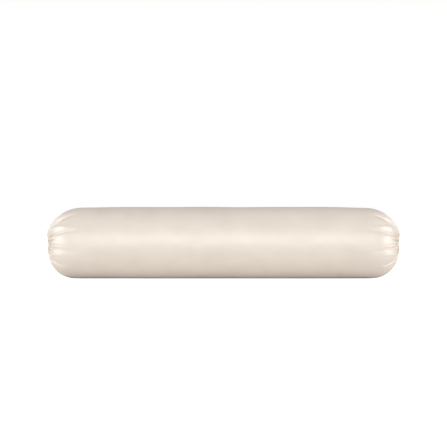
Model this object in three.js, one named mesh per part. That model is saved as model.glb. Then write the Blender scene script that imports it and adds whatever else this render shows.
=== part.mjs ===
// A side-sleeper's bolster: a fibre-filled inner pillow inside a satin case with gathered, elastic-drawn ends.
//
// Millimetres, +Z up. X runs along the bolster, and the origin is on the surface that it lies on, below its middle.
// Each shell is turned about the bolster's axis as a skin at some depth below the outside of the case, and the facets
// underneath are pressed into one flat strip, as the bolster's weight settles it.

import * as THREE from 'three';

// Driving dimensions
const LENGTH = 1000; // over both gathered mouths
const BOLSTER_RADIUS = 103; // outside of the case
const DOME_LENGTH = 100; // from the end of the straight tube to the pole of the rounded end
const DOME_BLUNTNESS = 2.1; // 2 is an ellipse, more is squarer

const CASE_CLOTH = 1.0; // thickness of the case panel
const MOUTH_RADIUS = 25; // clear radius inside the gathered hem
const HEM_RISE = 10; // radial height of the gathered hem
const HEM_PROUD = 2; // how far the hem stands out past the dome's pole
const HEM_CORNER = 1.5; // bevel on the folded edge of the hem
const ELASTIC_WIDTH = 6;
const ELASTIC_THICKNESS = 2;
const STITCH_THICKNESS = 1;
const CASE_SEAM_WIDTH = 8;
const CASE_SEAM_THICKNESS = 1;
const CASE_SEAM_ANGLE = THREE.MathUtils.degToRad(-30); // from the +Y side, negative is below the axis

const TICKING_CLOTH = 1.2; // thickness of the inner pillow's casing
const END_PANEL_RADIUS = 62; // round end of the inner pillow, out to its seam
const TICKING_SEAM_WIDTH = 6;
const TICKING_SEAM_THICKNESS = 1;
const TICKING_SEAM_ANGLE = THREE.MathUtils.degToRad(35);

const LAYER_GAP = 0.8; // clear space between one layer and the next
const JOIN_GAP = 0.4; // clear space between two pieces that are sewn or packed edge to edge

const AROUND = 36; // facets around a turned piece
const DOME_STEPS = 12; // facets from the tube to the pole
const FLAT_FACETS = 3; // facets underneath that the weight presses into one flat strip

// Places that follow from the dimensions
const FLAT_SHARE = Math.cos((FLAT_FACETS * Math.PI) / AROUND); // the flat strip's depth below the axis, over the radius
const AXIS_HEIGHT = BOLSTER_RADIUS * FLAT_SHARE;
const DOME_START = LENGTH / 2 - HEM_PROUD - DOME_LENGTH;
const HEM_RADIUS = MOUTH_RADIUS + HEM_RISE;
const HEM_END = LENGTH / 2;
const ELASTIC_END = HEM_END - CASE_CLOTH - LAYER_GAP;
const STITCH_END = ELASTIC_END - ELASTIC_WIDTH - LAYER_GAP;
const FLAP_END = STITCH_END - STITCH_THICKNESS - LAYER_GAP;
const CASE_SEAM_DEPTH = CASE_CLOTH + LAYER_GAP;
const TICKING_SEAM_DEPTH = CASE_SEAM_DEPTH + CASE_SEAM_THICKNESS + LAYER_GAP;
const TICKING_DEPTH = TICKING_SEAM_DEPTH + TICKING_SEAM_THICKNESS + LAYER_GAP;
const FILLING_DEPTH = TICKING_DEPTH + TICKING_CLOTH + LAYER_GAP;

// Profiles: lists of points, each at a place along the axis and a radius from it

function profilePoint(along, radius) {
  return new THREE.Vector2(radius, along);
}

// A skin is a tube with a dome on each end, this far below the outside of the case.
function caseSkin(depth) {
  return { radius: BOLSTER_RADIUS - depth, reach: DOME_LENGTH - depth };
}

// The inner pillow's domes are shorter, so that its outermost skin ends just behind the turned-in hem.
function pillowSkin(depth) {
  const reach = FLAP_END - LAYER_GAP - DOME_START + TICKING_SEAM_DEPTH;
  return { radius: BOLSTER_RADIUS - depth, reach: reach - depth };
}

// The turn is 0 where the tube ends and a right angle at the pole.
function skinPoint(skin, turn) {
  const along = DOME_START + skin.reach * Math.sin(turn) ** (2 / DOME_BLUNTNESS);
  return profilePoint(along, skin.radius * Math.cos(turn));
}

function turnAtRadius(skin, radius) {
  return Math.acos(radius / skin.radius);
}

// The skin between two radii, from the wider to the narrower. All skins share their facets, so gaps stay even.
function skinArc(skin, widest, narrowest) {
  const [from, to] = [widest, narrowest].map((radius) => turnAtRadius(skin, radius));
  const step = Math.PI / 2 / DOME_STEPS;
  const shared = Array.from({ length: DOME_STEPS }, (_, k) => k * step);
  const between = shared.filter((turn) => turn > from + step / 4 && turn < to - step / 4);
  return [from, ...between, to].map((turn) => skinPoint(skin, turn));
}

function skinFromTube(skin, narrowest) {
  return skinArc(skin, skin.radius, narrowest);
}

function skinToPole(skin, widest) {
  const arc = skinArc(skin, widest, 0);
  const pole = profilePoint(DOME_START + skin.reach, 0);
  return [...arc.slice(0, -1), pole];
}

function mirrored(profile) {
  return profile.map((p) => new THREE.Vector2(p.x, -p.y)).reverse();
}

function closed(profile) {
  return [...profile, profile[0]];
}

function rectangle(fromX, toX, innerRadius, outerRadius) {
  return [
    profilePoint(fromX, outerRadius),
    profilePoint(toX, outerRadius),
    profilePoint(toX, innerRadius),
    profilePoint(fromX, innerRadius),
  ];
}

// Turns a profile about the bolster's axis, half a facet round so that a whole facet faces down, and flattens it.
function turned(profile) {
  const geometry = new THREE.LatheGeometry(profile, AROUND, Math.PI / AROUND);
  geometry.rotateZ(-Math.PI / 2);
  const position = geometry.attributes.position;
  for (let i = 0; i < position.count; i += 1) {
    const radius = profile[i % profile.length].x;
    position.setZ(i, Math.max(position.getZ(i), -radius * FLAT_SHARE));
  }
  return geometry.translate(0, 0, AXIS_HEIGHT);
}

// A lengthwise strip between two skins, out to this radius on both domes.
function lengthwiseStrip(outerSkin, innerSkin, width, endRadius) {
  const side = (skin) => {
    const right = skinFromTube(skin, endRadius);
    return [...mirrored(right), ...right];
  };
  const outline = [...side(outerSkin), ...side(innerSkin).reverse()];
  const shape = new THREE.Shape(outline.map((p) => new THREE.Vector2(p.y, p.x)));
  const geometry = new THREE.ExtrudeGeometry(shape, { depth: width, bevelEnabled: false });
  return geometry.translate(0, 0, -width / 2);
}

function sewnPiece(name, geometry, colour, roughness) {
  const material = new THREE.MeshStandardMaterial({ color: colour, roughness, metalness: 0 });
  const mesh = new THREE.Mesh(geometry, material);
  mesh.name = name;
  return mesh;
}

// Case

// The panel with both ends turned in as hems. The fold's channel opens inside the case.
function casePanelProfile() {
  const outside = skinFromTube(caseSkin(0), HEM_RADIUS);
  const inside = skinFromTube(caseSkin(CASE_CLOTH), HEM_RADIUS - CASE_CLOTH);
  const hem = [
    profilePoint(HEM_END - HEM_CORNER, HEM_RADIUS),
    profilePoint(HEM_END, HEM_RADIUS - HEM_CORNER),
    profilePoint(HEM_END, MOUTH_RADIUS + HEM_CORNER),
    profilePoint(HEM_END - HEM_CORNER, MOUTH_RADIUS),
    profilePoint(FLAP_END, MOUTH_RADIUS),
    profilePoint(FLAP_END, MOUTH_RADIUS + CASE_CLOTH),
    profilePoint(HEM_END - CASE_CLOTH, MOUTH_RADIUS + CASE_CLOTH),
    profilePoint(HEM_END - CASE_CLOTH, HEM_RADIUS - CASE_CLOTH),
  ];
  const rightEnd = [...outside, ...hem, ...inside.reverse()];
  return closed([...rightEnd, ...mirrored(rightEnd)]);
}

function elasticProfile() {
  const middle = MOUTH_RADIUS + HEM_RISE / 2;
  const half = ELASTIC_THICKNESS / 2;
  return rectangle(ELASTIC_END - ELASTIC_WIDTH, ELASTIC_END, middle - half, middle + half);
}

// The ring of stitches that closes the hem's channel behind the elastic.
function hemStitchingProfile() {
  const inner = MOUTH_RADIUS + CASE_CLOTH + JOIN_GAP;
  const outer = HEM_RADIUS - CASE_CLOTH - JOIN_GAP;
  return rectangle(STITCH_END - STITCH_THICKNESS, STITCH_END, inner, outer);
}

function caseSeamGeometry() {
  const outer = caseSkin(CASE_SEAM_DEPTH);
  const inner = caseSkin(CASE_SEAM_DEPTH + CASE_SEAM_THICKNESS);
  return lengthwiseStrip(outer, inner, CASE_SEAM_WIDTH, HEM_RADIUS + CASE_SEAM_WIDTH);
}

// Inner pillow

function tickingTubeProfile() {
  const edge = END_PANEL_RADIUS + JOIN_GAP;
  const outside = skinFromTube(pillowSkin(TICKING_DEPTH), edge);
  const inside = skinFromTube(pillowSkin(TICKING_DEPTH + TICKING_CLOTH), edge);
  const rightEnd = [...outside, ...inside.reverse()];
  return closed([...rightEnd, ...mirrored(rightEnd)]);
}

function endPanelProfile() {
  const outside = skinToPole(pillowSkin(TICKING_DEPTH), END_PANEL_RADIUS);
  const inside = skinToPole(pillowSkin(TICKING_DEPTH + TICKING_CLOTH), END_PANEL_RADIUS);
  return [...inside.reverse(), ...outside];
}

// The bound seam that joins an end panel to the tube, lying over their shared edge.
function endSeamProfile() {
  const [widest, narrowest] = [1, -1].map((side) => END_PANEL_RADIUS + (side * TICKING_SEAM_WIDTH) / 2);
  const top = skinArc(pillowSkin(TICKING_SEAM_DEPTH), widest, narrowest);
  const bottom = skinArc(pillowSkin(TICKING_SEAM_DEPTH + TICKING_SEAM_THICKNESS), widest, narrowest);
  return closed([...top, ...bottom.reverse()]);
}

function tickingSeamGeometry() {
  const outer = pillowSkin(TICKING_SEAM_DEPTH);
  const inner = pillowSkin(TICKING_SEAM_DEPTH + TICKING_SEAM_THICKNESS);
  return lengthwiseStrip(outer, inner, TICKING_SEAM_WIDTH, END_PANEL_RADIUS + TICKING_SEAM_WIDTH);
}

function fillingProfile() {
  const skin = pillowSkin(FILLING_DEPTH);
  const rightEnd = skinToPole(skin, skin.radius);
  return [...mirrored(rightEnd), ...rightEnd];
}

// Assembly

const COLOURS = {
  satin: 0xe9dccf,
  satinThread: 0xe3d3c4,
  elastic: 0xf1eee8,
  ticking: 0xe8e6e0,
  tickingThread: 0xd9d6cf,
  filling: 0xf6f5f2,
};

function addToBothEnds(group, name, profile, colour, roughness) {
  const leftProfile = mirrored(profile);
  group.add(sewnPiece(`${name}_right`, turned(profile), colour, roughness));
  group.add(sewnPiece(`${name}_left`, turned(leftProfile), colour, roughness));
}

// A strip is drawn in the plane of the axis and the radius, then swung to its angle around the bolster.
function addStrip(group, name, geometry, angle, colour, roughness) {
  const strip = sewnPiece(name, geometry, colour, roughness);
  strip.position.z = AXIS_HEIGHT;
  strip.rotation.x = angle;
  group.add(strip);
}

function innerPillow() {
  const group = new THREE.Group();
  group.add(sewnPiece('filling', turned(fillingProfile()), COLOURS.filling, 1));
  group.add(sewnPiece('ticking_tube', turned(tickingTubeProfile()), COLOURS.ticking, 0.9));
  addToBothEnds(group, 'ticking_end', endPanelProfile(), COLOURS.ticking, 0.9);
  addToBothEnds(group, 'end_seam', endSeamProfile(), COLOURS.tickingThread, 0.8);
  addStrip(group, 'ticking_seam', tickingSeamGeometry(), TICKING_SEAM_ANGLE, COLOURS.tickingThread, 0.8);
  return group;
}

function satinCase() {
  const group = new THREE.Group();
  group.add(sewnPiece('case_panel', turned(casePanelProfile()), COLOURS.satin, 0.4));
  addToBothEnds(group, 'elastic', closed(elasticProfile()), COLOURS.elastic, 0.8);
  addToBothEnds(group, 'hem_stitching', closed(hemStitchingProfile()), COLOURS.satinThread, 0.6);
  addStrip(group, 'case_seam', caseSeamGeometry(), CASE_SEAM_ANGLE, COLOURS.satinThread, 0.6);
  return group;
}

const bolster = new THREE.Group();
bolster.add(innerPillow(), satinCase());

export default bolster;
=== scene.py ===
import bpy
import numpy as np
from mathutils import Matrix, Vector


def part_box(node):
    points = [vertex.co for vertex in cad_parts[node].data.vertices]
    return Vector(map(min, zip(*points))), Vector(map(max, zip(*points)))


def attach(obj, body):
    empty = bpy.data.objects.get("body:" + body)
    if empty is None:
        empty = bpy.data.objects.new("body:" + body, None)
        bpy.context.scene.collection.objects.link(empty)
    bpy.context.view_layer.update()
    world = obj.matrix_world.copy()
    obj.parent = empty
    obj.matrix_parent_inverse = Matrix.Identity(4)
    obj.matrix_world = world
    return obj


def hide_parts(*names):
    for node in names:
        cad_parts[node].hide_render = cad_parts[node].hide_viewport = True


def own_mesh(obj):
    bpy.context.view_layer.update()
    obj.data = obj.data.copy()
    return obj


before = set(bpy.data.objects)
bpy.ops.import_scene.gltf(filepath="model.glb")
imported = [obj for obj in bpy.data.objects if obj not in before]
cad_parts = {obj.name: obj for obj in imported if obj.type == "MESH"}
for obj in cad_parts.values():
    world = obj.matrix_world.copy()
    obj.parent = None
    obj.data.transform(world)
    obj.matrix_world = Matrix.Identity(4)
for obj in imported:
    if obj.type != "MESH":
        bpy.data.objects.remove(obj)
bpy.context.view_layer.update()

MM = 0.001

# ---------------------------------------------------------------------------------------------------------
# Fibre filling
# Hollow polyester fibre, blown into the inner pillow until it is firm. It is never seen, but it gives the
# pillow its round, slightly lumpy form. It lies loose inside the cotton casing.

FILL_AROUND = 96
FILL_DOME = 88 * MM
FILL_SLACK = 1.5 * MM
FILL_FLOOR_GAP = 0.5 * MM
FILL_END_GAP = 1 * MM
LUMP_HEIGHT = 1.2 * MM


def linear(colour, alpha=1.0):
    """An sRGB hex colour as linear red, green, blue and alpha.

    A share c becomes c / 12.92 up to 0.04045, and ((c + 0.055) / 1.055) ** 2.4 above.
    """
    share = np.array([int(colour[i : i + 2], 16) for i in (1, 3, 5)]) / 255
    bent = np.where(share <= 0.04045, share / 12.92, ((share + 0.055) / 1.055) ** 2.4)
    return (*bent.tolist(), alpha)


def add_node(material, kind, settings=None, values=None, links=None):
    """Adds one shader node: its properties, the values of its own sockets, and its links.

    A link feeds a socket from (node, output).
    """
    made = material.node_tree.nodes.new(kind)
    for key, value in (settings or {}).items():
        setattr(made, key, value)
    for key, value in (values or {}).items():
        made.inputs[key].default_value = value
    for key, (source, output) in (links or {}).items():
        material.node_tree.links.new(source.outputs[output], made.inputs[key])
    return made


def new_material(name):
    """An empty node material."""
    material = bpy.data.materials.new(name)
    material.use_nodes = True
    material.node_tree.nodes.clear()
    return material


def grid_faces(rows, columns):
    """The four corners of each face of a grid whose last column meets its first.

    The corners of face (r, c) are (r, c), (r + 1, c), (r + 1, c + 1) and (r, c + 1).
    """
    row, column = np.meshgrid(np.arange(rows - 1), np.arange(columns), indexing="ij")
    after = (column + 1) % columns
    this_row, next_row = row * columns, (row + 1) * columns
    corners = [this_row + column, next_row + column, next_row + after, this_row + after]
    return np.stack(corners, axis=-1).reshape(-1, 4)


def grid_corner_uvs(along, around):
    """The UV of each face corner of the same grid: its length along and its length around, in metres."""
    u = np.stack([along[:-1], along[1:], along[1:], along[:-1]], axis=-1)[:, None, :]
    v = np.stack([around[:-1], around[:-1], around[1:], around[1:]], axis=-1)[None, :, :]
    rows, columns = len(along) - 1, len(around) - 1
    u = np.broadcast_to(u, (rows, columns, 4))
    v = np.broadcast_to(v, (rows, columns, 4))
    return np.stack([u, v], axis=-1).reshape(-1, 2)


def ring_surface(name, points, material, first_pole=None, last_pole=None, closed=False):
    """A piece from rings of points, shape (rows, columns, 3) in metres.

    Each ring is joined to the next, and its end to its start. A pole closes the first or the last ring with
    a fan of triangles, and closed joins the last ring to the first, as in a hoop. UVs are in metres.
    """
    rows, columns, _ = points.shape
    track = np.concatenate([points, points[:1]]) if closed else points
    across_steps = np.linalg.norm(np.roll(points, -1, axis=1) - points, axis=2).max(axis=0)
    along_steps = np.linalg.norm(np.diff(track, axis=0), axis=2).mean(axis=1)
    around = np.concatenate([[0], np.cumsum(across_steps)])
    along = np.concatenate([[0], np.cumsum(along_steps)])
    vertices = points.reshape(-1, 3)
    faces = (grid_faces(len(track), columns) % (rows * columns)).tolist()
    uvs = [grid_corner_uvs(along, around)]
    column = np.arange(columns)
    after = (column + 1) % columns
    fans = [(first_pole, 0, column, after, -1), (last_pole, (rows - 1) * columns, after, column, 1)]
    for pole, start, one, other, side in fans:
        if pole is None:
            continue
        tip = np.full(columns, len(vertices))
        vertices = np.vstack([vertices, pole])
        faces += np.stack([tip, start + one, start + other], axis=1).tolist()
        edge = along[0] if side < 0 else along[-1]
        reach = np.linalg.norm(pole - points[0 if side < 0 else -1], axis=1).mean()
        fan = np.empty((columns, 3, 2))
        fan[:, :, 1] = around[:-1, None]
        fan[:, 0, 0] = edge + side * reach
        fan[:, 1:, 0] = edge
        uvs.append(fan.reshape(-1, 2))
    mesh = bpy.data.meshes.new(name)
    mesh.from_pydata(vertices.tolist(), [], faces)
    mesh.uv_layers.new(name="cloth").data.foreach_set("uv", np.concatenate(uvs).ravel())
    mesh.shade_smooth()
    mesh.materials.append(material)
    piece = bpy.data.objects.new(name, mesh)
    bpy.context.scene.collection.objects.link(piece)
    return piece


def place(along, radius, angle, height):
    """Points at a place along X, a radius and an angle up from the front: (x, -r cos a, h + r sin a)."""
    along, radius, angle = np.broadcast_arrays(along, radius, angle)
    return np.stack([along, -radius * np.cos(angle), height + radius * np.sin(angle)], axis=-1)


def settled(points, floor, softness=2 * MM):
    """Presses the underside flat on a floor f.

    The height d over it becomes (d + sqrt(d ** 2 + s ** 2)) / 2, where s is the softness.
    """
    over = points[..., 2] - floor
    points[..., 2] = floor + (over + np.sqrt(over**2 + softness**2)) / 2
    return points


def ripples(along, angle, count, longest, shortest, seed):
    """A sum of `count` gentle waves of random direction and phase over the surface, about -1 to 1."""
    rng = np.random.default_rng(seed)
    total = 0
    for length, turns, phase in zip(
        rng.uniform(shortest, longest, count), rng.integers(-4, 5, count), rng.uniform(0, 2 * np.pi, count)
    ):
        total = total + np.sin(2 * np.pi * along / length + turns * angle + phase)
    return total / np.sqrt(count)


def full_turn(columns):
    """Evenly spaced angles once around."""
    return np.arange(columns) * (2 * np.pi / columns)


def capsule_profile(half_length, radius, dome, rows, blunt):
    """Places along X and radii of a tube with a dome on each end.

    On the dome they are (sin t) ** (2 / b) of its length and (cos t) ** (2 / b) of its radius.
    """
    turn = np.linspace(0, np.pi / 2, rows)[:-1]
    along = half_length - dome + dome * np.sin(turn) ** (2 / blunt)
    wide = radius * np.cos(turn) ** (2 / blunt)
    tube = np.linspace(-(half_length - dome), half_length - dome, 3 * rows)[1:-1]
    x = np.concatenate([-along[::-1], tube, along])
    r = np.concatenate([wide[::-1], np.full(len(tube), radius), wide])
    return x, r


def fibre_material():
    """Hollow polyester fibre, carded and blown: white, fully matt, fluffy with fine tangled hair."""
    material = new_material("polyester_fibre_blown")
    place_on = add_node(material, "ShaderNodeTexCoord")
    tangle = add_node(
        material, "ShaderNodeTexNoise", values={"Scale": 120, "Detail": 6, "Roughness": 0.7},
        links={"Vector": (place_on, "Object")},
    )
    bump = add_node(
        material, "ShaderNodeBump", values={"Strength": 0.6, "Distance": 2 * MM},
        links={"Height": (tangle, "Fac")},
    )
    tone = add_node(material, "ShaderNodeValToRGB", links={"Fac": (tangle, "Fac")})
    tone.color_ramp.elements[0].color = linear("#e9e7e1")
    tone.color_ramp.elements[1].color = linear("#fbfaf7")
    shader = add_node(
        material, "ShaderNodeBsdfPrincipled", values={"Roughness": 0.95, "Sheen Weight": 0.3},
        links={"Base Color": (tone, "Color"), "Normal": (bump, "Normal")},
    )
    add_node(material, "ShaderNodeOutputMaterial", links={"Surface": (shader, "BSDF")})
    return material


fill_low, fill_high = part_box("filling")
fill_radius = fill_high.y
CASE_LOW, CASE_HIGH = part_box("case_panel")
AXIS_HEIGHT = CASE_HIGH.z - CASE_HIGH.y
angles = full_turn(FILL_AROUND)
fill_x, fill_r = capsule_profile(fill_high.x, fill_radius, FILL_DOME, rows=16, blunt=1.7)
fill_x, fill_r = fill_x[:, None], fill_r[:, None]
lumps = LUMP_HEIGHT * ripples(fill_x, angles, 9, 260 * MM, 90 * MM, seed=3)
lumpy_r = fill_r - FILL_SLACK + lumps * fill_r / fill_radius
fill_points = place(fill_x, lumpy_r, angles, AXIS_HEIGHT)
fill_points = settled(fill_points, fill_low.z + FILL_FLOOR_GAP)
fill_pole = np.array([fill_high.x - FILL_END_GAP, 0, AXIS_HEIGHT])
filling = ring_surface(
    "fibre_filling", fill_points, fibre_material(), first_pole=fill_pole * [-1, 1, 1], last_pole=fill_pole
)
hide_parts("filling")
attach(filling, "inner_pillow")

# ---------------------------------------------------------------------------------------------------------
# Cotton casing of the inner pillow
# A tube and two round end panels of plain-woven off-white cotton, sewn together inside out and turned. The
# seams pull the cloth into short puckers, which fade within a few centimetres.

AROUND = 256
COTTON_THICK = 0.5 * MM
PUCKERS = 46
TUBE_PUCKER, TUBE_PUCKER_REACH = 3.0 * MM, 24 * MM
TUBE_DIP, TUBE_DIP_REACH = 1.2 * MM, 5 * MM
PANEL_PUCKER, PANEL_PUCKER_REACH = 1.6 * MM, 9 * MM
PANEL_DIP, PANEL_DIP_REACH = 1.0 * MM, 4 * MM
CASING_WAVES = 0.7 * MM
SEAM_ROWS = 26
MIDDLE_ROWS = 42


def bands_per(length):
    """The Wave Texture scale that gives one band in each length: its bands lie 2 pi / (20 scale) apart."""
    return 2 * np.pi / (20 * length)


def cotton_material():
    """Plain-woven unbleached cotton ticking: matt, an over-and-under weave, small slubs in the yarn."""
    material = new_material("cotton_plain_weave")
    cloth = add_node(material, "ShaderNodeUVMap", settings={"uv_map": "cloth"})
    # real yarns lie 0.4 mm apart; they are drawn 1.2 mm apart so that they show
    yarns = [
        add_node(
            material, "ShaderNodeTexWave",
            settings={"bands_direction": direction, "wave_profile": "SIN"},
            values={"Scale": bands_per(1.2 * MM), "Distortion": 0.6, "Detail": 1, "Detail Scale": 0.6},
            links={"Vector": (cloth, "UV")},
        )
        for direction in ("X", "Y")
    ]
    weave = add_node(
        material, "ShaderNodeMath", settings={"operation": "MULTIPLY"},
        links={0: (yarns[0], "Fac"), 1: (yarns[1], "Fac")},
    )
    slubs = add_node(
        material, "ShaderNodeTexNoise", values={"Scale": 60, "Detail": 5, "Roughness": 0.65},
        links={"Vector": (cloth, "UV")},
    )
    height = add_node(
        material, "ShaderNodeMath", settings={"operation": "MULTIPLY_ADD"}, values={1: 0.5},
        links={0: (slubs, "Fac"), 2: (weave, "Value")},
    )
    bump = add_node(
        material, "ShaderNodeBump", values={"Strength": 0.5, "Distance": 0.5 * MM},
        links={"Height": (height, "Value")},
    )
    tone = add_node(material, "ShaderNodeValToRGB", links={"Fac": (slubs, "Fac")})
    tone.color_ramp.elements[0].position = 0.3
    tone.color_ramp.elements[0].color = linear("#cdc7b9")
    tone.color_ramp.elements[1].position = 0.75
    tone.color_ramp.elements[1].color = linear("#e0dbcf")
    shader = add_node(
        material, "ShaderNodeBsdfPrincipled",
        values={"Roughness": 0.88, "Sheen Weight": 0.15, "Specular IOR Level": 0.3},
        links={"Base Color": (tone, "Color"), "Normal": (bump, "Normal")},
    )
    add_node(material, "ShaderNodeOutputMaterial", links={"Surface": (shader, "BSDF")})
    return material


def thicken(piece, thickness):
    """Gives a sheet its real thickness inward, with a closed rim."""
    wall = piece.modifiers.new("thickness", "SOLIDIFY")
    wall.thickness = thickness
    wall.offset = -1.0
    wall.use_rim = True


def pucker(angle, count, strength, seed):
    """Small even gathers beside a seam: sharp valleys between round lobes.

    Their height is strength (|sin(n a / 2 + p(a))| - 1), where the phase p sways at random.
    """
    rng = np.random.default_rng(seed)
    sway = sum(rng.uniform(0.3, 0.8) * np.sin(k * angle + rng.uniform(0, 2 * np.pi)) for k in (2, 3, 5, 7))
    return strength * (np.abs(np.sin(count / 2 * angle + sway)) - 1)


tube_low, tube_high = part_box("ticking_tube")
end_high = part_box("ticking_end_right")[1]
TICKING_RADIUS = tube_high.y
PANEL_RADIUS = end_high.y
TICKING_DOME_START = 398 * MM
TICKING_DOME = end_high.x - TICKING_DOME_START
TICKING_BLUNT = 1.85
SEAM_GAP = 0.008


def ticking_skin(turn):
    """Place and radius on the casing's domed end, from the tube at turn 0 to the pole at a right angle."""
    along = TICKING_DOME_START + TICKING_DOME * np.sin(turn) ** (2 / TICKING_BLUNT)
    return along, TICKING_RADIUS * np.cos(turn) ** (2 / TICKING_BLUNT)


SEAM_TURN = np.arccos((PANEL_RADIUS / TICKING_RADIUS) ** (TICKING_BLUNT / 2))
cotton = cotton_material()
angles = full_turn(AROUND)

tube_turn = np.linspace(0, SEAM_TURN - SEAM_GAP, SEAM_ROWS)
dome_x, dome_r = ticking_skin(tube_turn)
middle_x = np.linspace(-TICKING_DOME_START, TICKING_DOME_START, MIDDLE_ROWS)[1:-1]
tube_x = np.concatenate([-dome_x[::-1], middle_x, dome_x])[:, None]
tube_r = np.concatenate([dome_r[::-1], np.full(len(middle_x), TICKING_RADIUS), dome_r])[:, None]
from_seam = (dome_x[-1] - np.abs(tube_x)).clip(0)
tube_r = tube_r + pucker(angles, PUCKERS, TUBE_PUCKER, seed=11) * np.exp(-from_seam / TUBE_PUCKER_REACH)
tube_r = tube_r - TUBE_DIP * np.exp(-from_seam / TUBE_DIP_REACH)
tube_r = tube_r + CASING_WAVES * ripples(tube_x, angles, 14, 300 * MM, 80 * MM, seed=5)
tube_points = settled(place(tube_x, tube_r, angles, AXIS_HEIGHT), tube_low.z)
ticking_tube = ring_surface("cotton_tube", tube_points, cotton)
thicken(ticking_tube, COTTON_THICK)
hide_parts("ticking_tube")
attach(ticking_tube, "inner_pillow")

for side, end_name in ((1, "right"), (-1, "left")):
    panel_turn = np.linspace(SEAM_TURN + SEAM_GAP, np.pi / 2, SEAM_ROWS)[:-1]
    panel_x, panel_r = ticking_skin(panel_turn)
    inside = (PANEL_RADIUS - panel_r)[:, None]
    sink = pucker(angles, PUCKERS, PANEL_PUCKER, seed=17) * np.exp(-inside / PANEL_PUCKER_REACH)
    sink = sink - PANEL_DIP * np.exp(-inside / PANEL_DIP_REACH)
    panel_points = place(side * (panel_x[:, None] + sink), panel_r[:, None], angles, AXIS_HEIGHT)
    pole = np.array([side * end_high.x, 0, AXIS_HEIGHT])
    if side > 0:
        panel = ring_surface(f"cotton_end_{end_name}", panel_points, cotton, last_pole=pole)
    else:
        panel = ring_surface(f"cotton_end_{end_name}", panel_points[::-1], cotton, first_pole=pole)
    thicken(panel, COTTON_THICK)
    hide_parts(f"ticking_end_{end_name}")
    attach(panel, "inner_pillow")

# ---------------------------------------------------------------------------------------------------------
# Bound end seams of the inner pillow
# A strip of the same cotton is folded over the two raw edges where an end panel meets the tube, and sewn
# through. It stands up as a thin round rib with a line of stitches along it.

RIB_RADIUS = 1.5 * MM
RIB_PROUD = 0.6 * MM
RIB_WAVE = 0.004
RIB_STITCHES = 110
STITCH_SHARE = 0.55
STITCH_PROUD = 0.1 * MM


def tube_along(path, radius, sides):
    """Rings of a round tube about a closed path in a plane across X.

    Each point of the path gets r (cos s, sin s) in its own radial plane.
    """
    spin = full_turn(sides)
    centre = path.mean(axis=0)
    outward = path - centre
    outward[:, 0] = 0
    outward /= np.linalg.norm(outward, axis=1)[:, None]
    along_x = np.array([1.0, 0, 0])
    ring = np.cos(spin)[:, None, None] * outward + np.sin(spin)[:, None, None] * along_x
    return path[None] + radius * ring


def thread_stitches(name, starts, ends, lift, thickness, material):
    """A row of stitches, each a six-sided thread arched from its start to its end.

    Its middle line is the chord plus lift times sin(pi t), and it thins towards both ends.
    """
    steps, sides = 5, 6
    t = np.linspace(0, 1, steps)[None, :, None]
    chord = ends - starts
    line = starts[:, None] + t * chord[:, None] + lift[:, None] * np.sin(np.pi * t)
    tangent = chord / np.linalg.norm(chord, axis=1)[:, None]
    up = lift / np.linalg.norm(lift, axis=1)[:, None]
    across = np.cross(tangent, up)
    spin = full_turn(sides)
    taper = np.array([0.35, 1, 1, 1, 0.35])[None, :, None, None] * thickness / 2
    cos_spin, sin_spin = np.cos(spin)[:, None], np.sin(spin)[:, None]
    ring = cos_spin * across[:, None, None] + sin_spin * up[:, None, None]
    points = line[:, :, None] + taper * ring
    count = len(starts)
    body = grid_faces(steps, sides)
    first = np.arange(sides)[None, :]
    last = (steps - 1) * sides + np.arange(sides)[None, ::-1]
    offset = (np.arange(count) * steps * sides)[:, None, None]
    faces = (body[None] + offset).reshape(-1, 4).tolist()
    faces += (first + offset).reshape(-1, sides).tolist()
    faces += (last + offset).reshape(-1, sides).tolist()
    mesh = bpy.data.meshes.new(name)
    mesh.from_pydata(points.reshape(-1, 3).tolist(), [], faces)
    mesh.shade_smooth()
    mesh.materials.append(material)
    piece = bpy.data.objects.new(name, mesh)
    bpy.context.scene.collection.objects.link(piece)
    return piece


def thread_material(name, dark, light, roughness):
    """Spun sewing thread: a soft twist shows as fine slanting bands of two close tones."""
    material = new_material(name)
    place_on = add_node(material, "ShaderNodeTexCoord")
    # a real twist repeats every 0.5 to 0.6 mm, and so do these slanting bands
    twist = add_node(
        material, "ShaderNodeTexWave", settings={"bands_direction": "DIAGONAL"},
        values={"Scale": bands_per(0.5 * MM), "Distortion": 1.5, "Detail": 1},
        links={"Vector": (place_on, "Object")},
    )
    tone = add_node(material, "ShaderNodeValToRGB", links={"Fac": (twist, "Fac")})
    tone.color_ramp.elements[0].color = linear(dark)
    tone.color_ramp.elements[1].color = linear(light)
    bump = add_node(
        material, "ShaderNodeBump", values={"Strength": 0.4, "Distance": 0.1 * MM},
        links={"Height": (twist, "Fac")},
    )
    shader = add_node(
        material, "ShaderNodeBsdfPrincipled", values={"Roughness": roughness, "Sheen Weight": 0.1},
        links={"Base Color": (tone, "Color"), "Normal": (bump, "Normal")},
    )
    add_node(material, "ShaderNodeOutputMaterial", links={"Surface": (shader, "BSDF")})
    return material


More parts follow.
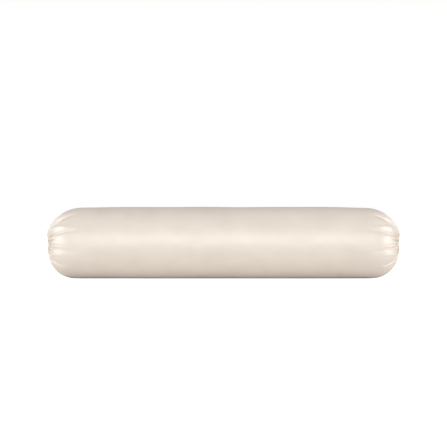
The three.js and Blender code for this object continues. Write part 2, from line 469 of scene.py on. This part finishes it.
cotton_thread = thread_material("cotton_thread_spun", "#cfc9bc", "#e4dfd3", 0.8)
seam_x, seam_r = ticking_skin(SEAM_TURN)
rib_x, rib_r = seam_x + RIB_PROUD, seam_r + RIB_PROUD
for side, end_name in ((1, "right"), (-1, "left")):
    path = place(side * rib_x, rib_r * (1 + RIB_WAVE * np.sin(PUCKERS / 2 * angles)), angles, AXIS_HEIGHT)
    rib = ring_surface(f"bound_seam_{end_name}", tube_along(path, RIB_RADIUS, 10), cotton, closed=True)
    stitch_angle = full_turn(RIB_STITCHES)
    out = place(0, 1, stitch_angle, 0) * 0.8 + np.array([0.6 * side, 0, 0])
    ends = [
        place(side * rib_x, rib_r, stitch_angle + turn, AXIS_HEIGHT) + out * (RIB_RADIUS + STITCH_PROUD)
        for turn in (0, STITCH_SHARE * 2 * np.pi / RIB_STITCHES)
    ]
    stitches = thread_stitches(f"end_stitches_{end_name}", *ends, out * 0.15 * MM, 0.5 * MM, cotton_thread)
    for piece in (rib, stitches):
        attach(piece, "inner_pillow")
    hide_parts(f"end_seam_{end_name}")

# ---------------------------------------------------------------------------------------------------------
# Lengthwise seam of the inner pillow
# The pillow is filled through this seam, high on the side away from the front. Its two folded edges are
# then closed from outside with slanting whip stitches of cotton thread.

TICKING_SEAM_ANGLE = np.radians(145)
SEAM_WIDTH = 6 * MM
SEAM_THICK = 0.9 * MM
WHIP_STITCHES = 150
WHIP_REACH = 440 * MM
WHIP_LEAN = 1.6 * MM
WHIP_PROUD = 0.7 * MM
WHIP_LIFT = 0.55 * MM
WHIP_THREAD = 0.6 * MM


def seam_strip(name, along, radius, width, thickness, angle, material):
    """A narrow strip along the bolster's side.

    Across it, from u = -1 to 1, its surface rises from the cloth by t cos(pi u / 2) ** 0.5.
    """
    across = np.linspace(-1, 1, 7)
    rise = thickness * np.sqrt(np.cos(np.pi / 2 * across).clip(0))
    turn = angle + across * width / 2 / radius[:, None]
    top = place(along[:, None], radius[:, None] + rise, turn, AXIS_HEIGHT)
    under = place(along[:, None], radius[:, None] - 0.1 * MM, turn, AXIS_HEIGHT)[:, ::-1]
    rings = np.concatenate([top, under], axis=1)
    first_end, last_end = rings[0].mean(axis=0), rings[-1].mean(axis=0)
    return ring_surface(name, rings, material, first_pole=first_end, last_pole=last_end)


strip_x = tube_x[1:-1, 0]
at_seam = np.abs(angles - TICKING_SEAM_ANGLE).argmin()
strip_r = tube_r[1:-1, at_seam] + 0.1 * MM
ticking_seam = seam_strip(
    "whipped_seam", strip_x, strip_r, SEAM_WIDTH, SEAM_THICK, TICKING_SEAM_ANGLE, cotton
)
whip_x = np.linspace(-WHIP_REACH, WHIP_REACH, WHIP_STITCHES)
whip_r = np.interp(whip_x, strip_x, strip_r) + WHIP_PROUD
whip_turn = 0.38 * SEAM_WIDTH / whip_r
whip_ends = [
    place(whip_x + sign * WHIP_LEAN, whip_r, TICKING_SEAM_ANGLE + sign * whip_turn, AXIS_HEIGHT)
    for sign in (-1, 1)
]
whip_up = place(0, WHIP_LIFT, np.full(WHIP_STITCHES, TICKING_SEAM_ANGLE), 0)
whip = thread_stitches("whip_stitches", *whip_ends, whip_up, WHIP_THREAD, cotton_thread)
for piece in (ticking_seam, whip):
    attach(piece, "inner_pillow")
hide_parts("ticking_seam")

# ---------------------------------------------------------------------------------------------------------
# Satin case panel
# One piece of champagne polyester satin, about 65 cm around and 1.1 m long, sewn into a tube. Both ends are
# turned in as a hem and drawn up on elastic, so the cloth gathers into folds that fade along the sides.

CASE_RADIUS = CASE_HIGH.y
CASE_DOME_START = 398 * MM
CASE_DOME_END = 493 * MM
MOUTH = 35.0 * MM
DOME_BLUNT, DOME_BLUNT_SWAY = 2.35, 0.25
SATIN_THICK = 0.45 * MM
CASE_WAVES = 0.5 * MM
SEAM_GROOVE, GROOVE_WIDTH = 0.9 * MM, 1.6 * MM
CASE_SEAM_ANGLE = np.radians(210)
CASE_AROUND = 288
DOME_ROWS = 48
HEM_PLEATS = 50
PLEAT_DEPTH, PLEAT_RISE = 2.8 * MM, 1.1 * MM
SINK_LIMIT = 7.5 * MM
LOBE_GAP_DEPTH = 3.5 * MM
LOBE_REACH = 25 * MM
CREASE_ROUND = 0.7 * MM
CREASE_WIDTH = 3.2 * MM
CREST_PERCENT = 12
BODY_ROWS = 22
SIMULATED_REACH = 75 * MM

# Gathers seen from the front, each one valley: angle up from the front in degrees at the mouth, how far it
# turns on its way out, reach and depth in millimetres, and the relative widths of its upper and lower
# slopes. A negative depth is a raised crest.
FRONT_GATHERS = (
    (84, 2, 60, 2.5, 0.8, 0.8),
    (71, -3, 84, -4.0, 0.8, 0.4),
    (59, -5, 112, 10.0, 0.4, 1.4),
    (46, -22, 118, -4.0, 0.35, 1.0),
    (34, -4, 30, 3.5, 0.6, 0.6),
    (21, 0, 128, 8.5, 0.8, 0.4),
    (13, -1, 90, -1.5, 0.8, 0.8),
    (7, 0, 46, 6.0, 0.5, 0.5),
    (-3, -1, 36, 4.0, 0.7, 0.7),
    (-10, -4, 120, 5.5, 1.5, 0.6),
    (-22, 2, 36, 3.5, 0.6, 0.6),
    (-27, 7, 95, -2.0, 0.9, 0.9),
    (-34, 21, 50, 4.5, 0.5, 0.5),
    (-52, 12, 86, 5.5, 1.0, 0.6),
    (-65, 0, 46, 4.0, 0.8, 0.8),
    (-79, 0, 70, 3.5, 0.8, 0.8),
)


def back_gathers(seed):
    """Gathers on the side away from the front, at uneven steps of 9 to 15 degrees, some of them long."""
    rng = np.random.default_rng(seed)
    found, angle = [], 101.0
    while angle < 268:
        reach = rng.uniform(70, 115) if rng.random() < 0.45 else rng.uniform(30, 50)
        found.append((angle, rng.uniform(-4, 4), reach, rng.uniform(3.0, 5.5), *rng.uniform(0.5, 1.2, 2)))
        angle += rng.uniform(9, 15)
    return found


GATHERS = np.array([*FRONT_GATHERS, *back_gathers(seed=8)])


def turned_by(angle, line):
    """The signed angle from a line to each angle, between -pi and pi."""
    return (angle - line + np.pi) % (2 * np.pi) - np.pi


def lobe_height(angle):
    """Between two neighbouring gathers the cloth puffs out as a round lobe.

    Its height is 1 - |2 u - 1| ** 2.2, times the root of its width over the mean width.
    """
    lines = np.sort(np.radians(GATHERS[GATHERS[:, 3] > 0, 0]) % (2 * np.pi))
    lines = np.concatenate([[lines[-1] - 2 * np.pi], lines, [lines[0] + 2 * np.pi]])
    which = np.searchsorted(lines, angle, side="right") - 1
    width = lines[which + 1] - lines[which]
    u = (angle - lines[which]) / width
    return (1 - np.abs(2 * u - 1) ** 2.2) * np.sqrt(width / width.mean())


def gather_depth(distance, angle, radius):
    """How far the cloth sinks at a distance from the mouth.

    Each gather adds d (1 - s) ** 1.1 (1 + 2 s) exp(-g / w), where s is the share of its reach, g the length
    around to its line and w its width there. The gaps between lobes sink too, near the mouth. A tanh eases
    the depth, so that the cloth stops where it meets the inner pillow.
    """
    sink = LOBE_GAP_DEPTH * np.exp(-distance / LOBE_REACH) * (1 - lobe_height(angle))
    for start, turn, reach, depth, above, below in GATHERS:
        share = np.clip(distance / (reach * MM), 0, 1)
        aside = turned_by(angle, np.radians(start + turn * share))
        gap = np.sqrt((aside * radius) ** 2 + CREASE_ROUND**2)
        width = CREASE_WIDTH * np.where(aside > 0, above, below) * (radius / MOUTH) ** 0.9
        sink = sink + depth * MM * (1 - share) ** 1.1 * (1 + 2 * share) * np.exp(-gap / width)
    sink = sink - np.percentile(sink, CREST_PERCENT, axis=-1, keepdims=True)
    return np.where(sink > 0, SINK_LIMIT * np.tanh(sink / SINK_LIMIT), sink)


def barrel(along):
    """The tube is slightly fuller in the middle: 1 - 0.018 s, with s from 0 at 280 mm to 1 at 420 mm."""
    s = np.clip((np.abs(along) - 280 * MM) / (140 * MM), 0, 1)
    return 1 - 0.018 * s * s * (3 - 2 * s)


def end_surface(angle):
    """The right end before it is gathered, as rows from the tube to the mouth.

    It is a superellipse that is blunter underneath. The five values are the place along X, the radius, the
    outward direction along X and radially, and the distance to the mouth.
    """
    blunt = DOME_BLUNT - DOME_BLUNT_SWAY * np.sin(angle)
    mouth_turn = np.arccos((MOUTH / CASE_RADIUS) ** (blunt / 2))
    turn = mouth_turn * (np.linspace(0, 1, DOME_ROWS) ** 0.85)[:, None]
    depth = (CASE_DOME_END - CASE_DOME_START) / np.sin(mouth_turn) ** (2 / blunt)
    along = CASE_DOME_START + depth * np.sin(turn) ** (2 / blunt)
    radius = CASE_RADIUS * np.cos(turn) ** (2 / blunt)
    out_x, out_r = depth * np.sin(turn), CASE_RADIUS * np.cos(turn)
    size = np.hypot(out_x, out_r)
    step = np.hypot(np.diff(along, axis=0), np.diff(radius, axis=0))
    distance = np.concatenate([np.cumsum(step[::-1], axis=0)[::-1], np.zeros((1, len(angle)))])
    return along, radius * barrel(along), out_x / size, out_r / size, distance


def drawn_up(flat, drawn, free, frames, draw_frames):
    """Simulates the cloth of one end.

    It starts as the flat tube, is drawn in to the gathered shape as on a cord, and is pushed outward by the
    pillow, so the spare cloth buckles into folds. Two rows at each edge are held; `free` guides the rest.
    """
    rows, columns, _ = flat.shape
    mesh = bpy.data.meshes.new("drawn_end")
    mesh.from_pydata(flat.reshape(-1, 3).tolist(), [], grid_faces(rows, columns).tolist())
    cloth = bpy.data.objects.new("drawn_end", mesh)
    bpy.context.scene.collection.objects.link(cloth)
    cloth.shape_key_add(name="flat")
    key = cloth.shape_key_add(name="drawn")
    key.data.foreach_set("co", drawn.astype(np.float32).ravel())
    for value, frame_number in ((0, 1), (1, draw_frames)):
        key.value = value
        key.keyframe_insert("value", frame=frame_number)
    held = cloth.vertex_groups.new(name="held")
    held.add(list(range(2 * columns)), 1.0, "REPLACE")
    held.add(list(range((rows - 2) * columns, rows * columns)), 1.0, "REPLACE")
    held.add(list(range(2 * columns, (rows - 2) * columns)), free, "REPLACE")
    modifier = cloth.modifiers.new("gathering", "CLOTH")
    settings = modifier.settings
    settings.vertex_group_mass = "held"
    settings.quality = 6
    settings.tension_stiffness = 30
    settings.compression_stiffness = 30
    settings.bending_stiffness = 20
    settings.use_pressure = True
    settings.uniform_pressure_force = 20
    settings.effector_weights.gravity = 0
    modifier.collision_settings.use_collision = False
    for number in range(1, frames + 1):
        bpy.context.scene.frame_set(number)
    shaped = cloth.evaluated_get(bpy.context.evaluated_depsgraph_get()).to_mesh()
    points = np.empty(rows * columns * 3, dtype=np.float32)
    shaped.vertices.foreach_get("co", points)
    action = mesh.shape_keys.animation_data.action
    bpy.data.objects.remove(cloth)
    bpy.data.meshes.remove(mesh)
    bpy.data.actions.remove(action)
    bpy.context.scene.frame_set(1)
    return points.reshape(rows, columns, 3).astype(float)


def smoothed(values, times):
    """Evens out small crinkles, `times` over.

    A value becomes (before + 2 itself + after) / 4 along, and (before + 6 itself + after) / 8 around.
    """
    for _ in range(times):
        padded = np.concatenate([values[:1], values, values[-1:]])
        values = (padded[:-2] + 2 * padded[1:-1] + padded[2:]) / 4
        values = (np.roll(values, 1, axis=1) + 6 * values + np.roll(values, -1, axis=1)) / 8
    return values


def gathered_end(angle):
    """The right end with its folds, as rows of points from the tube to the mouth.

    The simulated folds are kept whole near the mouth and give way to the guide shape along the sides.
    """
    along, radius, out_x, out_r, distance = end_surface(angle)
    sink = gather_depth(distance, angle, radius)
    drawn = place(along - sink * out_x, radius - sink * out_r, angle, AXIS_HEIGHT)
    rest_along = CASE_DOME_START + distance[0].mean() - distance.mean(axis=1)[:, None]
    flat = place(rest_along, CASE_RADIUS, angle, AXIS_HEIGHT)
    folded = drawn_up(flat, drawn, free=0.3, frames=28, draw_frames=15)
    share = np.clip(1.1 - distance / SIMULATED_REACH, 0, 1)[..., None]
    drawn = drawn + smoothed(folded - drawn, 2) * share
    return drawn


def hem_bead(mouth_row, angle):
    """The turned-in hem: from the mouth row it rolls outward and back in to its hidden edge.

    The row's folds fade into small even pleats, which stand out most where the bead is thickest.
    """
    radius = np.hypot(mouth_row[:, 1], mouth_row[:, 2] - AXIS_HEIGHT)
    crimp = radius - radius.mean()
    pleat = pucker(angle, HEM_PLEATS, PLEAT_DEPTH, seed=4) + PLEAT_RISE
    path_x = [0.6, 1.4, 2.2, 2.9, 3.0, 2.2, 0, -4.2]
    path_r = [-0.9, -2.5, -4.6, -7.0, -9.0, -10.8, -11.8, -12]
    path = np.stack([path_x, path_r], axis=1) * MM
    fold_share = np.array([0.9, 0.7, 0.5, 0.4, 0.35, 0.3, 0.3, 0.3])
    pleat_share = np.array([0.15, 0.5, 0.85, 1.0, 0.9, 0.6, 0.4, 0.3])
    wave = crimp * fold_share[:, None] + pleat * pleat_share[:, None]
    lean_share = np.array([0.15, 0.25, 0.35, 0.4, 0.35, 0.25, 0.15, 0.1])
    mouth_x = mouth_row[:, 0].mean()
    along = mouth_x + 0.6 * (mouth_row[:, 0] - mouth_x) + path[:, :1] + pleat * lean_share[:, None]
    return place(along, radius.mean() + path[:, 1:] + wave, angle, AXIS_HEIGHT)


def satin_material():
    """Champagne polyester satin, woven with long floats: a smooth, broad, soft shine with fine streaks."""
    material = new_material("polyester_satin_champagne")
    cloth = add_node(material, "ShaderNodeUVMap", settings={"uv_map": "cloth"})
    # real floats are 0.15 mm wide and 1.5 mm long; they are drawn six times as large so that they show
    stretch = add_node(
        material, "ShaderNodeMapping", values={"Scale": (1 / (9 * MM), 1 / (0.9 * MM), 1)},
        links={"Vector": (cloth, "UV")},
    )
    floats = add_node(
        material, "ShaderNodeTexNoise", values={"Scale": 1.0, "Detail": 3, "Roughness": 0.6},
        links={"Vector": (stretch, "Vector")},
    )
    mottle = add_node(
        material, "ShaderNodeTexNoise", values={"Scale": 14, "Detail": 2}, links={"Vector": (cloth, "UV")}
    )
    bump = add_node(
        material, "ShaderNodeBump", values={"Strength": 0.2, "Distance": 0.25 * MM},
        links={"Height": (floats, "Fac")},
    )
    mixed = add_node(
        material, "ShaderNodeMath", settings={"operation": "MULTIPLY_ADD"}, values={1: 0.35},
        links={0: (floats, "Fac"), 2: (mottle, "Fac")},
    )
    tone = add_node(material, "ShaderNodeValToRGB", links={"Fac": (mixed, "Value")})
    tone.color_ramp.elements[0].position = 0.45
    tone.color_ramp.elements[0].color = linear("#dacfc3")
    tone.color_ramp.elements[1].position = 0.85
    tone.color_ramp.elements[1].color = linear("#e1d6ca")
    gloss = add_node(
        material, "ShaderNodeMapRange",
        values={"From Min": 0.3, "From Max": 0.7, "To Min": 0.35, "To Max": 0.43},
        links={"Value": (floats, "Fac")},
    )
    shader = add_node(
        material, "ShaderNodeBsdfPrincipled", values={"Specular IOR Level": 0.8, "IOR": 1.5},
        links={"Base Color": (tone, "Color"), "Roughness": (gloss, "Result"), "Normal": (bump, "Normal")},
    )
    add_node(material, "ShaderNodeOutputMaterial", links={"Surface": (shader, "BSDF")})
    return material


angles = full_turn(CASE_AROUND)
right_end = gathered_end(angles)
mouth_row = right_end[-1]
hem_rows = hem_bead(mouth_row, angles)
right_end = np.concatenate([right_end, hem_rows])
left_end = right_end[::-1] * [-1, 1, 1]
body_x = np.linspace(-CASE_DOME_START, CASE_DOME_START, BODY_ROWS)[1:-1, None]
body = place(body_x, CASE_RADIUS * barrel(body_x), angles, AXIS_HEIGHT)
case_points = np.concatenate([left_end, body, right_end])
outward = case_points - [0, 0, AXIS_HEIGHT]
outward[..., 0] = 0
case_r = np.linalg.norm(outward, axis=2)
outward /= case_r[..., None]
calm = np.clip((case_r / CASE_RADIUS - 0.5) * 2, 0, 1)
swell = CASE_WAVES * ripples(case_points[..., 0], angles, 10, 420 * MM, 160 * MM, seed=21)
seam_aside = turned_by(angles, CASE_SEAM_ANGLE) * CASE_RADIUS
swell = swell - SEAM_GROOVE * np.exp(-((seam_aside / GROOVE_WIDTH) ** 2))
case_points = settled(case_points + outward * (swell * calm)[..., None], CASE_LOW.z + SATIN_THICK)
satin = satin_material()
case_panel = ring_surface("satin_case", case_points, satin)
thicken(case_panel, SATIN_THICK)
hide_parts("case_panel")
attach(case_panel, "case")
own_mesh(case_panel)

# ---------------------------------------------------------------------------------------------------------
# Lengthwise seam of the case
# The panel's two long edges are sewn together and overlocked inside, low on the side away from the front.
# The allowance lies flat against the cloth, with a zigzag of polyester thread over its raw edge.

ALLOWANCE = 8 * MM
ALLOWANCE_THICK = 0.5 * MM
ALLOWANCE_END_RADIUS = 75 * MM
ZIGZAG_PITCH = 2.6 * MM
ZIGZAG_MIDDLE = 0.28
ZIGZAG_SWING = 0.2
OVERLOCK_RADIUS = 0.18 * MM


def thread_along(name, path, normals, radius, sides, material):
    """A round thread along a path: each point plus r (cos s n + sin s b).

    Here n is the normal, and b is across both n and the path.
    """
    tangent = np.gradient(path, axis=0)
    across = np.cross(normals, tangent)
    across /= np.linalg.norm(across, axis=1)[:, None]
    spin = full_turn(sides)
    cos_spin, sin_spin = np.cos(spin)[:, None], np.sin(spin)[:, None]
    points = path[:, None] + radius * (cos_spin * normals[:, None] + sin_spin * across[:, None])
    return ring_surface(name, points, material, first_pole=path[0], last_pole=path[-1])


satin_thread = thread_material("polyester_thread_tonal", "#bfb0a3", "#d3c6ba", 0.5)
seam_rows = slice(len(hem_rows), len(case_points) - len(hem_rows))
seam_column = np.abs(angles - CASE_SEAM_ANGLE).argmin()
seam_line = case_points[seam_rows, seam_column]
seam_line_r = np.hypot(seam_line[:, 1], seam_line[:, 2] - AXIS_HEIGHT) - SATIN_THICK - 1.0 * MM
inside = seam_line_r > ALLOWANCE_END_RADIUS
allowance_x, allowance_r = seam_line[inside, 0], seam_line_r[inside]
allowance = seam_strip(
    "seam_allowance", allowance_x, allowance_r, ALLOWANCE, ALLOWANCE_THICK, CASE_SEAM_ANGLE, satin
)
zigzag_x = np.arange(allowance_x[0], allowance_x[-1], ZIGZAG_PITCH / 2)
swing = np.where(np.arange(len(zigzag_x)) % 2 == 0, -1.0, 1.0)
zigzag_r = np.interp(zigzag_x, allowance_x, allowance_r)
zigzag_angle = CASE_SEAM_ANGLE + ALLOWANCE * (ZIGZAG_MIDDLE + swing * ZIGZAG_SWING) / zigzag_r
zigzag_path = place(zigzag_x, zigzag_r - 0.25 * MM, zigzag_angle, AXIS_HEIGHT)
zigzag_out = place(0, 1, zigzag_angle, 0)
overlock = thread_along("overlock_thread", zigzag_path, zigzag_out, OVERLOCK_RADIUS, 5, satin_thread)
for piece in (allowance, overlock):
    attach(piece, "case")
    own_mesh(piece)
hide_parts("case_seam")

# ---------------------------------------------------------------------------------------------------------
# Elastic and stitching of the hems
# Each hem is turned in and held by one row of tonal stitches. The tunnel that this makes carries a loop of
# braided elastic tape 6 mm wide, which is less than half as long as the cloth and so draws up the folds.

ELASTIC_THICK = 0.9 * MM
ELASTIC_DEPTH = 5.5 * MM
STITCH_LIFT = 0.12 * MM
STITCH_ARCH = 0.25 * MM
STITCH_RADIUS = 0.42 * MM


def elastic_material():
    """Braided elastic: off-white polyester yarn over rubber, with ribs that run along the tape."""
    material = new_material("braided_elastic_white")
    tape = add_node(material, "ShaderNodeUVMap", settings={"uv_map": "cloth"})
    ribs = add_node(
        material, "ShaderNodeTexWave", settings={"bands_direction": "X"},
        values={"Scale": bands_per(0.8 * MM), "Distortion": 0.5}, links={"Vector": (tape, "UV")},
    )
    tone = add_node(material, "ShaderNodeValToRGB", links={"Fac": (ribs, "Fac")})
    tone.color_ramp.elements[0].color = linear("#d8d3c9")
    tone.color_ramp.elements[1].color = linear("#f0ece4")
    bump = add_node(
        material, "ShaderNodeBump", values={"Strength": 0.5, "Distance": 0.3 * MM},
        links={"Height": (ribs, "Fac")},
    )
    shader = add_node(
        material, "ShaderNodeBsdfPrincipled", values={"Roughness": 0.75},
        links={"Base Color": (tone, "Color"), "Normal": (bump, "Normal")},
    )
    add_node(material, "ShaderNodeOutputMaterial", links={"Surface": (shader, "BSDF")})
    return material


elastic = elastic_material()
mouth_r = np.hypot(mouth_row[:, 1], mouth_row[:, 2] - AXIS_HEIGHT)
crimp = mouth_r - mouth_r.mean()
tape_x = mouth_row[:, 0].mean() + np.linspace(-4, 2, 5)[:, None] * MM
stitch_row = case_points[len(case_points) - len(hem_rows) - 2]
stitch_from = np.arange(0, CASE_AROUND, 2)
for side, end_name in ((1, "right"), (-1, "left")):
    tape_points = place(side * tape_x, mouth_r.mean() - ELASTIC_DEPTH + 0.7 * crimp, angles, AXIS_HEIGHT)
    tape = ring_surface(f"elastic_tape_{end_name}", tape_points[::side], elastic)
    thicken(tape, ELASTIC_THICK)
    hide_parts(f"elastic_{end_name}")
    lift = place(0, 0.8, angles, 0)[stitch_from] + [0.6, 0, 0]
    starts = stitch_row[stitch_from]
    ends = 0.35 * starts + 0.65 * stitch_row[(stitch_from + 2) % CASE_AROUND]
    flip = np.array([side, 1, 1])
    starts = (starts + STITCH_LIFT * lift) * flip
    ends = (ends + STITCH_LIFT * lift) * flip
    arch = lift * flip * STITCH_ARCH
    hem_stitches = thread_stitches(
        f"hem_stitches_{end_name}", starts, ends, arch, STITCH_RADIUS, satin_thread
    )
    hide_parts(f"hem_stitching_{end_name}")
    for piece, slot_name in ((tape, "elastic"), (hem_stitches, "satin_thread")):
        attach(piece, "case")
        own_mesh(piece)

# ---------------------------------------------------------------------------------------------------------
# Floor, light and camera
# A white studio floor and surround, with three soft lights: one broad one in front, a little above the
# bolster, and a smaller one beyond each end. The camera looks level at the front from 6 m away.

PAPER_GLOW = 0.8
HORIZON = 0.71
ZENITH = 0.45
FLOOR_REACH = 90
floor_corners = [(x * FLOOR_REACH, y * FLOOR_REACH, 0) for x, y in ((-1, -1), (1, -1), (1, 1), (-1, 1))]
floor_mesh = bpy.data.meshes.new("studio_floor")
floor_mesh.from_pydata(floor_corners, [], [(0, 1, 2, 3)])
floor = bpy.data.objects.new("studio_floor", floor_mesh)
bpy.context.scene.collection.objects.link(floor)


def paper_material(colour, glow):
    """White studio paper.

    It glows a little to the camera alone, so it fades into the surround without lighting the bolster.
    """
    material = new_material("white_studio_paper")
    rays = add_node(material, "ShaderNodeLightPath")
    shine = add_node(
        material, "ShaderNodeMath", settings={"operation": "MULTIPLY"}, values={1: glow},
        links={0: (rays, "Is Camera Ray")},
    )
    shader = add_node(
        material, "ShaderNodeBsdfPrincipled",
        values={
            "Base Color": colour, "Roughness": 1.0, "Specular IOR Level": 0.0,
            "Emission Color": (1, 1, 1, 1),
        },
        links={"Emission Strength": (shine, "Value")},
    )
    add_node(material, "ShaderNodeOutputMaterial", links={"Surface": (shader, "BSDF")})
    return material


floor_mesh.materials.append(paper_material((0.86, 0.86, 0.86, 1), PAPER_GLOW))


def studio_walls(horizon, zenith):
    """The surround: white in view, and dimmer as a light, the more so from 10 to 40 degrees up."""
    world = bpy.data.worlds.new("studio")
    world.use_nodes = True
    world.node_tree.nodes.clear()
    direction = add_node(world, "ShaderNodeTexCoord")
    rays = add_node(world, "ShaderNodeLightPath")
    parts = add_node(world, "ShaderNodeSeparateXYZ", links={"Vector": (direction, "Generated")})
    strength = add_node(
        world, "ShaderNodeMapRange", settings={"interpolation_type": "SMOOTHSTEP"},
        values={"From Min": 0.17, "From Max": 0.64, "To Min": horizon, "To Max": zenith},
        links={"Value": (parts, "Z")},
    )
    shown = add_node(
        world, "ShaderNodeMath", settings={"operation": "MAXIMUM"},
        links={0: (strength, "Result"), 1: (rays, "Is Camera Ray")},
    )
    light = add_node(
        world, "ShaderNodeBackground", values={"Color": (1, 1, 1, 1)}, links={"Strength": (shown, "Value")}
    )
    add_node(world, "ShaderNodeOutputWorld", links={"Surface": (light, "Background")})
    bpy.context.scene.world = world


studio_walls(horizon=HORIZON, zenith=ZENITH)


def softbox(name, place_at, aim, width, height, power):
    """A rectangular area light at a place, turned to look at a point."""
    lamp = bpy.data.lights.new(name, "AREA")
    lamp.shape = "RECTANGLE"
    lamp.size = width
    lamp.size_y = height
    lamp.energy = power
    box = bpy.data.objects.new(name, lamp)
    box.location = place_at
    box.rotation_euler = (Vector(aim) - Vector(place_at)).to_track_quat("-Z", "Y").to_euler()
    bpy.context.scene.collection.objects.link(box)


def around_bolster(azimuth, elevation, distance):
    """A place at a distance from the bolster's middle.

    It is turned by an azimuth from the front and raised by an elevation, both in degrees.
    """
    turn, rise = np.radians(azimuth), np.radians(elevation)
    return (
        distance * np.sin(turn) * np.cos(rise),
        -distance * np.cos(turn) * np.cos(rise),
        AXIS_HEIGHT + distance * np.sin(rise),
    )


MIDDLE = (0, 0, AXIS_HEIGHT)
softbox("front_softbox", around_bolster(0, 13, 2.9), MIDDLE, width=2.2, height=1.9, power=39)
for azimuth, side_name in ((-76, "left"), (76, "right")):
    lamp_place = around_bolster(azimuth, 9, 2.7)
    softbox(f"{side_name}_softbox", lamp_place, MIDDLE, width=1.3, height=1.0, power=26)

VIEW_WIDTH = 1.2625
VIEW_DISTANCE = 6.0
EYE_HEIGHT = 0.1555
SENSOR_WIDTH = 36
camera_data = bpy.data.cameras.new("camera")
camera_data.sensor_width = SENSOR_WIDTH
camera_data.lens = SENSOR_WIDTH * VIEW_DISTANCE / VIEW_WIDTH
camera_data.clip_end = 200
camera = bpy.data.objects.new("camera", camera_data)
camera.location = (0, -VIEW_DISTANCE, EYE_HEIGHT)
camera.rotation_euler = (np.pi / 2, 0, 0)
bpy.context.scene.collection.objects.link(camera)
bpy.context.scene.camera = camera
bpy.context.scene.view_settings.view_transform = "Standard"
